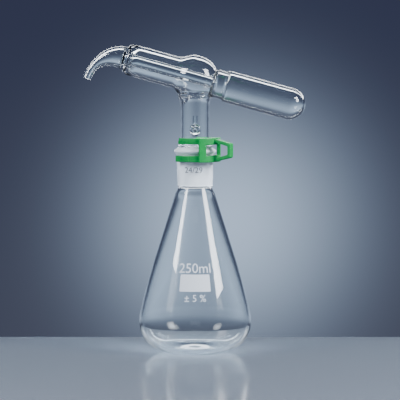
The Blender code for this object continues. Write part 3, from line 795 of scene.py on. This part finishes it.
def stem_outline(joint, inset, top):
    """Outer line of the ground cone, bead and stem from the foot up, or the bore inside it."""
    narrow = joint.wide_radius - JOINT_TAPER * (SOCKET_MOUTH - CONE_FOOT) - GROUND_GAP
    swollen = [(stem_radius(height) - inset, height)
               for height in between(PLAIN_STEM_TOP + 0.0005, top, 50)]
    if inset:
        bore = STEM_RADIUS - inset
        foot = narrow - 0.0015
        points = [(foot, CONE_FOOT - 0.003), (foot, CONE_FOOT)]
        points += [(narrow - 0.0017 + (bore - narrow + 0.0017) * float(ease(share)),
                    CONE_FOOT + 0.028 * share) for share in between(0.05, 1.0, 12)]
        points += [(bore, height) for height in between(SOCKET_MOUTH + 0.004, PLAIN_STEM_TOP, 8)]
        return points + swollen
    wide = joint.wide_radius - GROUND_GAP
    points = [(narrow - SOFTENED, CONE_FOOT)]
    points += bow(points[0], (narrow, CONE_FOOT + SOFTENED), 5, False)
    points += [(narrow + (wide - narrow) * share, CONE_FOOT + SOFTENED
                + (SOCKET_MOUTH - 0.0009 - CONE_FOOT) * share) for share in between(0.1, 1.0, 10)]
    bead_foot = SOCKET_MOUTH + GROUND_GAP
    crown = bead_foot + joint.bead_height
    points.append((wide + 0.0001, bead_foot))
    points += bow(points[-1], (BEAD_RADIUS, bead_foot + SOFTENED), 6, False)
    points += bow(points[-1], (STEM_RADIUS + 0.0002, crown), 8)
    points.append((STEM_RADIUS, crown + 0.0004))
    points += [(STEM_RADIUS, height) for height in between(crown + 0.002, PLAIN_STEM_TOP, 14)]
    return points + swollen


class Junction:
    """The blended surface where the upright stem runs into the arm's bulb and jacket."""

    def __init__(self, outline, inset, left_reach, right_reach):
        table = np.array(sorted(set(outline)))
        self.along = table[:, 0]
        self.radius = table[:, 1]
        self.slope = np.gradient(self.radius, self.along)
        self.inset = inset
        self.left_reach = left_reach
        self.right_reach = right_reach

    def fields(self, points):
        offset = points - np.array((0.0, 0.0, ARM_HEIGHT))
        along = offset @ ALONG
        away = np.linalg.norm(offset - along[:, None] * ALONG, axis=1)
        radius = np.interp(along, self.along, self.radius)
        slope = np.interp(along, self.along, self.slope)
        arm = (away - radius) / np.sqrt(1 + slope * slope)
        stem = np.hypot(points[:, 0], points[:, 1]) - stem_radius(points[:, 2]) + self.inset
        return arm, stem

    def distance(self, points):
        arm, stem = self.fields(points)
        leftness = ease((-points[:, 0] - 0.001) / 0.009)
        reach = self.right_reach + (self.left_reach - self.right_reach) * leftness
        share = np.clip(0.5 + 0.5 * (stem - arm) / reach, 0.0, 1.0)
        return stem * (1 - share) + arm * share - reach * share * (1 - share)

    def pull(self, target):
        """Move the vertices near the junction onto the blended surface."""
        points = vertices(target)
        arm, stem = self.fields(points)
        low = points[:, 2] < ARM_HEIGHT
        near = (np.maximum(arm, stem) < self.left_reach) & low
        near &= (np.minimum(np.abs(arm), np.abs(stem)) < 2e-4) & (np.minimum(arm, stem) > -2e-4)
        moved = points[near]
        step = 1e-6
        for _ in range(6):
            value = self.distance(moved)
            gradient = np.stack([(self.distance(moved + step * axis)
                                  - self.distance(moved - step * axis)) / (2 * step)
                                 for axis in np.eye(3)], axis=1)
            size = np.maximum((gradient ** 2).sum(axis=1), 1e-6)
            moved = moved - gradient * (value / size)[:, None]
        points[near] = moved
        target.data.vertices.foreach_set("co", points.ravel())
        tidy_slivers(target, near)


def tidy_slivers(target, near):
    """Merge the short edges that an exact cut leaves along its line."""
    with editing(target.data) as bm:
        bm.verts.ensure_lookup_table()
        chosen = [bm.verts[index] for index in np.flatnonzero(near)]
        bmesh.ops.remove_doubles(bm, verts=chosen, dist=0.00012)
        bmesh.ops.dissolve_degenerate(bm, edges=bm.edges, dist=1e-6)


def vent_stations(settings, bore):
    """Stations of the vent's ring and tube, in through the stem and up, or of their bore."""
    pen = Pen(VENT_LOW.y, VENT_LOW.z + VENT_RADIUS)
    pen.move(VENT_RUN, 12).turn(settings.vent_bend, math.pi / 2, 12).move(settings.vent_rise, 4)
    stations = []
    for y, z, heading, along in pen.stations:
        narrowed = float(ease((along - 0.0016) / 0.0022))
        radius = VENT_RADIUS + (settings.vent_tube_radius - VENT_RADIUS) * narrowed
        if bore:
            radius -= VENT_WALL - VENT_THINNER * narrowed
        else:
            radius -= edge_round(along, VENT_ROUND)
        stations.append((y, z, heading, radius))
    if bore:
        y, z, _, radius = stations[0]
        stations.insert(0, (y - 0.002, z, 0.0, radius + 0.0004))
        y, z, heading, radius = stations[-1]
        stations.append((y, z + 0.002, heading, radius))
    return stations


class DISPENSER_OT_head(bpy.types.Operator):
    """Blow the dosing head: cone, stem, bulb, jacket, delivery tube, spout and chamber"""
    bl_idname = "dispenser.head"
    bl_label = "Dosing Head"

    def execute(self, context):
        settings = context.scene.dispenser_head
        joint = context.scene.dispenser_joint
        sides = settings.segments
        outline = arm_outline(settings)

        head = sweep("head_glass", spout_stations(settings, 0.0) + arm_stations(outline), sides)
        stem = revolve("stem", stem_outline(joint, 0.0, ARM_HEIGHT - 0.008), sides)
        combine(head, stem, "UNION")
        Junction(outline, 0.0, settings.left_fillet, settings.right_fillet).pull(head)

        cavity_line = jacket_cavity_outline(settings)
        cavity = sweep("cavity", arm_stations(cavity_line), sides, closed=True)
        bore = revolve("bore", stem_outline(joint, settings.stem_wall, ARM_HEIGHT - 0.009), sides)
        combine(cavity, bore, "UNION")
        inner = [(along, radius - settings.wall) for along, radius in outline]
        Junction(inner, settings.stem_wall, settings.left_fillet * 0.8,
                 settings.right_fillet).pull(cavity)
        combine(head, cavity, "DIFFERENCE")

        combine(head, sweep("vent", vent_stations(settings, False), 32, plane="YZ"), "UNION")
        dose_way = (spout_stations(settings, settings.spout_wall, 0.002)[:-3]
                    + arm_stations(bore_outline(settings)))
        combine(head, sweep("dose_way", dose_way, 64), "DIFFERENCE")
        combine(head, sweep("vent_bore", vent_stations(settings, True), 24, plane="YZ"),
                "DIFFERENCE")
        combine(head, port_tool(), "DIFFERENCE")

        looks = (clear_glass("clear_blown_glass", 0.16), ground_glass())
        finish_piece(head, looks, "head",
                     ("ground_cone", "stem_tube", "vent_tube", "bulb_and_jacket",
                      "delivery_tube", "spout", "seal_collar", "measuring_chamber"), 50.0)
        mark_ground_band(head, joint, CONE_FOOT + 0.0004, GROUND_GAP, 0.0004)
        return {"FINISHED"}


def port_tool():
    """A round-ended cutter for the port on the underside of the delivery tube."""
    half = PORT_WIDTH / 2
    points = []
    for side, start in ((1, -90), (-1, 90)):
        for step in range(13):
            angle = math.radians(start + 15 * step)
            points.append((side * (PORT_LENGTH / 2 - half) + half * math.cos(angle),
                           half * math.sin(angle)))
    depth = np.linspace(0.0005, DELIVERY_RADIUS + 0.0012, 2)
    down = np.array((-math.sin(ARM_TILT), 0.0, -math.cos(ARM_TILT)))
    base = np.array((0.0, 0.0, ARM_HEIGHT)) + PORT_MIDDLE * ALONG
    rings = [[base + low * down + x * ALONG + y * np.array((0.0, 1.0, 0.0))
              for x, y in points] for low in depth]
    return grid_object("port", rings)


# ---------------------------------------------------------------- joint clip

def polar_prism(bm, inner, outer, start, end, low, high, round_end=False, steps=28):
    """Add a sector of a ring, with inner and outer radii given as functions of the angle."""
    angles = np.linspace(start, end, steps)
    outline = [(outer(a) * math.cos(a), outer(a) * math.sin(a)) for a in angles]
    if round_end:
        middle = (inner(end) + outer(end)) / 2
        half = (outer(end) - inner(end)) / 2
        side = math.copysign(1, end - start)
        for step in range(1, 8):
            swing = end + side * math.pi * step / 8
            outline.append((middle * math.cos(end) + half * math.cos(swing),
                            middle * math.sin(end) + half * math.sin(swing)))
    outline += [(inner(a) * math.cos(a), inner(a) * math.sin(a)) for a in angles[::-1]]
    add_prism(bm, outline, low, high)


def add_prism(bm, outline, low, high, turn=None):
    """Add a closed block with a flat outline; turn is a matrix that places it."""
    verts = [[bm.verts.new((x, y, height)) for x, y in outline] for height in (low, high)]
    count = len(outline)
    faces = [bm.faces.new(verts[0][::-1]), bm.faces.new(verts[1])]
    for side in range(count):
        after = (side + 1) % count
        faces.append(bm.faces.new((verts[0][side], verts[0][after],
                                   verts[1][after], verts[1][side])))
    bmesh.ops.recalc_face_normals(bm, faces=faces)
    if turn is not None:
        bmesh.ops.transform(bm, matrix=turn, verts=verts[0] + verts[1])


def moulded(name, bm, settings):
    """Fuse the blocks in a bmesh into one moulding with softened edges."""
    mesh = bpy.data.meshes.new(name)
    bm.transform(Matrix.Rotation(settings.azimuth, 4, "Z"))
    bm.to_mesh(mesh)
    bm.free()
    made = place(name, mesh)
    remesh = made.modifiers.new("Fuse", "REMESH")
    remesh.mode = "VOXEL"
    remesh.voxel_size = settings.grain
    soften = made.modifiers.new("Soften", "SMOOTH")
    soften.factor = 0.5
    soften.iterations = 3
    settle(made)
    return made


def constant(radius):
    """A radius that is the same at every angle."""
    return lambda angle: radius


def clip_back_blocks(settings):
    """Blocks of the clip's back: two shelves, webs and handle, drawn with the handle at +X."""
    bm = bmesh.new()
    half_web = settings.web_width / 2 / settings.web_outer
    end = settings.web_angle + half_web

    back = constant(settings.web_outer)
    polar_prism(bm, constant(settings.upper_inner), back, -end, end,
                CLIP_UPPER_FOOT, CLIP_TOP, steps=48)
    polar_prism(bm, constant(settings.lower_inner), back, -end, end,
                CLIP_FOOT, CLIP_LOWER_TOP, steps=48)
    for side in (-1, 1):
        middle = side * settings.web_angle
        polar_prism(bm, constant(settings.web_inner), back, middle - half_web,
                    middle + half_web, CLIP_LOWER_TOP - 0.001, CLIP_UPPER_FOOT + 0.001, steps=8)
    add_handle(bm, settings)
    return bm


def add_handle(bm, settings):
    """The handle's loop: two bars that close in on an upright end bar."""
    middle = (CLIP_FOOT + CLIP_TOP) / 2
    root = settings.web_outer - HANDLE_SUNK
    half_root = (CLIP_TOP - CLIP_FOOT) / 2 - 0.0002
    half_end = settings.end_height / 2
    bar = settings.bar
    bend = settings.reach - bar
    stand = Matrix.Translation((0, 0, middle)) @ Matrix.Rotation(math.pi / 2, 4, "X")
    half = settings.handle_width / 2
    top = [(root, half_root), (root, half_root - bar), (bend, half_end - bar),
           (settings.reach, half_end - bar), (settings.reach, half_end - CHAMFER),
           (settings.reach - CHAMFER, half_end)]
    add_prism(bm, top, -half, half, stand)
    add_prism(bm, [(x, -y) for x, y in top][::-1], -half, half, stand)
    post = [(bend, -half_end + CHAMFER / 2), (settings.reach, -half_end + CHAMFER),
            (settings.reach, half_end - CHAMFER), (bend, half_end - CHAMFER / 2)]
    add_prism(bm, post, -half, half, stand)


def jaw_blocks(settings, side):
    """Blocks of one side's two arms, which start inside the clip's back."""
    bm = bmesh.new()
    start = side * (settings.web_angle + 0.02)
    end = side * settings.jaw_end

    def thinning(thick_radius, jaw_radius):
        """Thick beside the web, thin toward the jaw's end."""
        def radius(angle):
            past = (abs(angle) - settings.web_angle - 0.10) / 0.5
            return thick_radius + (jaw_radius - thick_radius) * float(ease(past))
        return radius

    trim = 0.0001
    for inner, tip, thicker, low, high in (
            (settings.upper_inner, settings.upper_outer, 0.0012, CLIP_UPPER_FOOT, CLIP_TOP),
            (settings.lower_inner, settings.lower_outer, 0.0008, CLIP_FOOT, CLIP_LOWER_TOP)):
        round_angle = (tip - inner) / (tip + inner)
        polar_prism(bm, constant(inner), thinning(tip + thicker, tip), start,
                    end - side * round_angle, low + trim, high - trim, round_end=True, steps=48)
    return bm


def rib_tree():
    """Geometry nodes: upright ribs spaced along an arc on the outside of a ring."""
    tree = bpy.data.node_groups.new("ribs_along_arc", "GeometryNodeTree")
    for name, kind in (("Radius", "Float"), ("Start", "Float"), ("Sweep", "Float"),
                       ("Count", "Int"), ("Width", "Float"), ("Height", "Float"),
                       ("Middle", "Float"), ("Finish", "Material")):
        tree.interface.new_socket(name, in_out="INPUT", socket_type=f"NodeSocket{kind}")
    tree.interface.new_socket("Geometry", in_out="OUTPUT", socket_type="NodeSocketGeometry")
    given = tree.nodes.new("NodeGroupInput").outputs

    def step(kind, values):
        """Add a node whose sockets get links or numbers, and give its first output."""
        node = tree.nodes.new(kind)
        for socket, value in values.items():
            if isinstance(value, bpy.types.NodeSocket):
                tree.links.new(value, node.inputs[socket])
            else:
                node.inputs[socket].default_value = value
        return node.outputs[0] if len(node.outputs) else None

    arc = step("GeometryNodeCurveArc", {"Resolution": 64, "Radius": given["Radius"],
                                        "Start Angle": given["Start"],
                                        "Sweep Angle": given["Sweep"]})
    points = step("GeometryNodeCurveToPoints", {"Curve": arc, "Count": given["Count"]})
    rib = step("GeometryNodeMeshCylinder", {"Vertices": 12, "Radius": given["Width"],
                                            "Depth": given["Height"]})
    ribs = step("GeometryNodeInstanceOnPoints", {"Points": points, "Instance": rib})
    lift = step("ShaderNodeCombineXYZ", {"Z": given["Middle"]})
    raised = step("GeometryNodeTranslateInstances", {"Instances": ribs, "Translation": lift})
    real = step("GeometryNodeRealizeInstances", {"Geometry": raised})
    finished = step("GeometryNodeSetMaterial", {"Geometry": real, "Material": given["Finish"]})
    step("NodeGroupOutput", {"Geometry": finished})
    return tree


def grow_ribs(name, tree, values):
    """An object made by the rib tree, turned into a plain mesh."""
    made = place(name, bpy.data.meshes.new(name))
    grower = made.modifiers.new("Ribs", "NODES")
    grower.node_group = tree
    for item in tree.interface.items_tree:
        if item.in_out == "INPUT" and item.name in values:
            grower[item.identifier] = values[item.name]
    settle(made)
    return made


def join_into(target, others):
    """Add other objects' meshes to the target's."""
    with editing(target.data) as bm:
        for other in others:
            bm.from_mesh(other.data)
            bpy.data.objects.remove(other, do_unlink=True)


class DISPENSER_OT_clip(bpy.types.Operator):
    """Mould the joint clip: its back with the handle, and two flexing jaws"""
    bl_idname = "dispenser.clip"
    bl_label = "Joint Clip"

    def execute(self, context):
        settings = context.scene.dispenser_clip
        plastic = green_plastic(settings.tint)
        back = moulded("clip_back_moulding", clip_back_blocks(settings), settings)
        finish_piece(back, (plastic,), "clip", ("clip_back",), 60.0)

        tree = rib_tree()
        for name, side in (("front", -1), ("rear", 1)):
            jaw = moulded(f"clip_{name}_jaw_moulding", jaw_blocks(settings, side), settings)
            ribs = []
            for ring, radius, low, high in (
                    ("upper", settings.upper_outer, CLIP_UPPER_FOOT - 0.0001,
                     CLIP_TOP - 0.0016),
                    ("lower", settings.lower_outer, CLIP_FOOT, CLIP_LOWER_TOP)):
                first = settings.azimuth + side * settings.rib_start
                sweep_angle = side * (settings.jaw_end - settings.rib_start - 0.07)
                ribs.append(grow_ribs(f"{ring}_ribs", tree, {
                    "Radius": radius - RIB_SUNK, "Start": first, "Sweep": sweep_angle,
                    "Count": settings.ribs, "Width": RIB_RADIUS, "Height": high - low - RIB_SHORTER,
                    "Middle": (low + high) / 2, "Finish": plastic}))
            join_into(jaw, ribs)
            finish_piece(jaw, (plastic,), None, (), 60.0)
            self.bend(jaw, settings, name, side)
        return {"FINISHED"}

    @staticmethod
    def bend(jaw, settings, name, side):
        """Hide the model's arms that this jaw replaces, and bake the jaw's place into its mesh."""
        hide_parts(f"clip_upper_{name}_arm", f"clip_lower_{name}_arm")
        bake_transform(jaw)


# ---------------------------------------------------------------- markings

def text_mesh(name, body, size):
    """A filled text as a flat mesh, centred, with a fine triangulation."""
    curve = bpy.data.curves.new(name, "FONT")
    curve.body = body
    curve.size = size
    curve.align_x = "CENTER"
    curve.align_y = "CENTER"
    curve.resolution_u = 4
    holder = place(name, curve)
    graph = bpy.context.evaluated_depsgraph_get()
    mesh = bpy.data.meshes.new_from_object(holder.evaluated_get(graph))
    bpy.data.objects.remove(holder, do_unlink=True)
    return mesh


def panel_mesh(name, width, height, corner):
    """A flat rectangle with rounded corners."""
    mesh = bpy.data.meshes.new(name)
    bm = bmesh.new()
    points = []
    for x_side, y_side, first in ((1, 1, 0), (-1, 1, 90), (-1, -1, 180), (1, -1, 270)):
        for step in range(5):
            angle = math.radians(first + 22.5 * step)
            points.append((x_side * (width / 2 - corner) + corner * math.cos(angle),
                           y_side * (height / 2 - corner) + corner * math.sin(angle)))
    bm.faces.new([bm.verts.new((x, y, 0)) for x, y in points])
    bm.to_mesh(mesh)
    bm.free()
    return mesh


def wrap_mark(name, mesh, height, look, radius_at, across=0.0):
    """Wrap a flat mark round the front of a turned surface and give it a little thickness."""
    bm = bmesh.new()
    bm.from_mesh(mesh)
    bmesh.ops.remove_doubles(bm, verts=bm.verts, dist=1e-6)
    for axis in ((1, 0, 0), (0, 1, 0)):
        extent = max(abs(vert.co[0 if axis[0] else 1]) for vert in bm.verts)
        cuts = int(extent / MARK_MESH)
        for cut in range(-cuts, cuts + 1):
            plane = [MARK_MESH * cut * part for part in axis]
            bmesh.ops.bisect_plane(bm, geom=bm.verts[:] + bm.edges[:] + bm.faces[:],
                                   plane_co=plane, plane_no=axis)
    bmesh.ops.recalc_face_normals(bm, faces=bm.faces)
    skin = bmesh.ops.extrude_face_region(bm, geom=bm.faces[:])["geom"]
    raised = {item for item in skin if isinstance(item, bmesh.types.BMVert)}
    middle_radius = radius_at(height)
    for vert in bm.verts:
        up = height + vert.co.y
        radius = radius_at(up) + MARK_THICKNESS * (1 if vert in raised else -1 / 3)
        angle = -math.pi / 2 + (vert.co.x + across) / middle_radius
        vert.co = Vector((radius * math.cos(angle), radius * math.sin(angle), up))
    bmesh.ops.recalc_face_normals(bm, faces=bm.faces)
    wrapped = bpy.data.meshes.new(name)
    bm.to_mesh(wrapped)
    bm.free()
    bpy.data.meshes.remove(mesh)
    made = place(name, wrapped)
    finish_piece(made, (look,), "flask", (), 30.0)


def outer_radius_at(settings):
    """The flask's outer radius at a height, as a function."""
    outer, _ = flask_profile(settings)
    wall = np.array([point for point in outer if point[1] > settings.heel_radius])

    def radius(height):
        return float(np.interp(height, wall[:, 1], wall[:, 0]))
    return radius


class DISPENSER_OT_markings(bpy.types.Operator):
    """Fire the generic volume, writing panel, tolerance and joint size onto the glass"""
    bl_idname = "dispenser.markings"
    bl_label = "Markings"

    def execute(self, context):
        marks = context.scene.dispenser_marks
        joint = context.scene.dispenser_joint
        enamel = fired_mark("white_enamel", marks.enamel, 0.5)
        ink = fired_mark("dark_ink", marks.ink, 0.55)
        side = outer_radius_at(context.scene.dispenser_flask)

        def socket_side(height):
            share = (height - NECK_WELD) / (SOCKET_MOUTH - joint.flange_height - NECK_WELD)
            return joint.foot_radius + (joint.socket_radius - joint.foot_radius) * share

        wrap_mark("volume_mark", text_mesh("volume", marks.volume, 0.0099), 0.0661, enamel, side)
        wrap_mark("writing_panel", panel_mesh("panel", 0.0228, 0.0125, 0.0006), 0.0556, enamel,
                  side)
        wrap_mark("tolerance_mark", text_mesh("tolerance", marks.tolerance, 0.0072), 0.0442,
                  enamel, side)
        wrap_mark("joint_size_mark", text_mesh("joint", marks.joint, 0.0062), 0.1387, ink,
                  socket_side, -0.0012)
        return {"FINISHED"}


# ---------------------------------------------------------------- stage

def area_light(name, stand, width, height, power):
    """A soft rectangular lamp, aimed at the object."""
    light = bpy.data.lights.new(name, "AREA")
    light.shape = "RECTANGLE"
    light.size = width
    light.size_y = height
    light.energy = power
    light.color = (0.94, 0.97, 1.0)
    holder = place(name, light)
    holder.location = stand
    aim = (Vector(SOFTBOX_AIM) - Vector(stand)).to_track_quat("-Z", "Y")
    holder.rotation_euler = aim.to_euler()


def make_floor(settings):
    """A pale, softly glossy bench that ends a little behind the object."""
    look, nodes = new_material("pale_bench")
    where = nodes.object_place()
    cloud = nodes.noise(where, 6.0, 2.0)
    light = rgba(settings.floor)
    dark = rgba([channel * 0.93 for channel in settings.floor])
    nodes.surface(nodes.add("ShaderNodeBsdfPrincipled", None, {
        "Base Color": nodes.mixed(cloud, dark, light), "Roughness": 0.14}))
    mesh = bpy.data.meshes.new("bench")
    edge = ((BENCH_LEFT, BENCH_FRONT), (BENCH_RIGHT, BENCH_FRONT), (BENCH_RIGHT, BENCH_BACK),
            (BENCH_LEFT, BENCH_BACK))
    mesh.from_pydata([(*corner, height) for height in (0, -BENCH_THICK) for corner in edge], [],
                     [(0, 1, 2, 3), (7, 6, 5, 4), (0, 4, 5, 1), (1, 5, 6, 2),
                      (2, 6, 7, 3), (3, 7, 4, 0)])
    mesh.materials.append(look)
    place("bench", mesh)


def make_backdrop(settings):
    """A studio backdrop as the world's colour: a pool of light in the dark."""
    world = bpy.data.worlds.new("studio")
    bpy.context.scene.world = world
    nodes = Nodes(world)
    direction = nodes.add("ShaderNodeTexCoord", output="Generated")
    split = nodes.add("ShaderNodeSeparateXYZ", None, (direction,)).socket.node.outputs
    right, away, up = (Wire(nodes, socket) for socket in split)
    deep = nodes.add("ShaderNodeMath", {"operation": "MAXIMUM"}, (away, 0.02))
    across = right / deep - math.tan(POOL_AZIMUTH)
    rise = up / deep - math.tan(POOL_ELEVATION)
    # The backdrop stands close behind, so light bent aside still comes from its
    # bright part: the pool is wider across for every ray but the direct view.
    direct = nodes.add("ShaderNodeLightPath", output="Is Camera Ray")
    narrow = 1 / settings.pool_spread ** 2
    wide = 1 / settings.glass_spread ** 2
    tall = 1 / settings.glass_rise ** 2
    spread = (across * across * (wide + direct * (narrow - wide))
              + rise * rise * (tall + direct * (narrow - tall)))
    glow = nodes.add("ShaderNodeMath", {"operation": "EXPONENT"}, (spread * -1,))
    sides = 1 - nodes.add("ShaderNodeMath", {"operation": "EXPONENT"},
                          (across * across * (-1 / SIDES_FROM ** 2),))
    glass_glow = GLASS_GLOW + GLASS_SIDES * sides
    glow = glow * (glass_glow + direct * (1 - glass_glow)) + GLASS_HAZE * (1 - direct)
    high = nodes.add("ShaderNodeMapRange", {"interpolation_type": "SMOOTHSTEP"},
                     {"Value": up, "From Min": -0.16, "From Max": 0.03})
    dark = nodes.mixed(high, rgba(settings.low_dark), rgba(settings.high_dark))
    shade = nodes.mixed(glow, dark, rgba(settings.pool))
    light = nodes.add("ShaderNodeBackground", None, {"Color": shade, "Strength": 1.0})
    nodes.add("ShaderNodeOutputWorld", None, {"Surface": light})


def make_camera():
    """A long lens a little above the bulb, looking slightly down."""
    camera = bpy.data.cameras.new("camera")
    camera.sensor_width = 36.0
    camera.lens = CAMERA_LENS
    holder = place("camera", camera)
    holder.location = CAMERA_PLACE
    holder.rotation_euler = (math.pi / 2 - CAMERA_DOWN, 0, 0)
    bpy.context.scene.camera = holder


class DISPENSER_OT_stage(bpy.types.Operator):
    """Set the bench, backdrop, softboxes and camera"""
    bl_idname = "dispenser.stage"
    bl_label = "Stage"

    def execute(self, context):
        settings = context.scene.dispenser_stage
        make_floor(settings)
        make_backdrop(settings)
        make_camera()
        for softbox in SOFTBOXES:
            area_light(*softbox)
        return {"FINISHED"}


# ---------------------------------------------------------------- add-on

class DISPENSER_PT_panel(bpy.types.Panel):
    """Lists the sizes and colours of each piece and the operator that makes it"""
    bl_label = "Tilting Dispenser"
    bl_space_type = "VIEW_3D"
    bl_region_type = "UI"
    bl_category = "Dispenser"

    def draw(self, context):
        for name, operator in (("flask", "flask"), ("joint", None), ("head", "head"),
                               ("clip", "clip"), ("marks", "markings"), ("stage", "stage")):
            box = self.layout.box()
            group = getattr(context.scene, f"dispenser_{name}")
            for key in group.__annotations__:
                box.prop(group, key)
            if operator:
                box.operator(f"dispenser.{operator}")


SETTINGS = {"flask": FlaskSettings, "joint": JointSettings, "head": HeadSettings,
            "clip": ClipSettings, "marks": MarkSettings, "stage": StageSettings}
OPERATORS = (DISPENSER_OT_flask, DISPENSER_OT_head, DISPENSER_OT_clip,
             DISPENSER_OT_markings, DISPENSER_OT_stage)


def register():
    for made in (*SETTINGS.values(), *OPERATORS, DISPENSER_PT_panel):
        bpy.utils.register_class(made)
    for name, group in SETTINGS.items():
        setattr(bpy.types.Scene, f"dispenser_{name}", PointerProperty(type=group))


def unregister():
    for name in SETTINGS:
        delattr(bpy.types.Scene, f"dispenser_{name}")
    for made in (DISPENSER_PT_panel, *OPERATORS, *SETTINGS.values()):
        bpy.utils.unregister_class(made)


def main():
    register()
    for operator in ("flask", "head", "clip", "markings", "stage"):
        getattr(bpy.ops.dispenser, operator)()


if __name__ == "__main__":
    main()
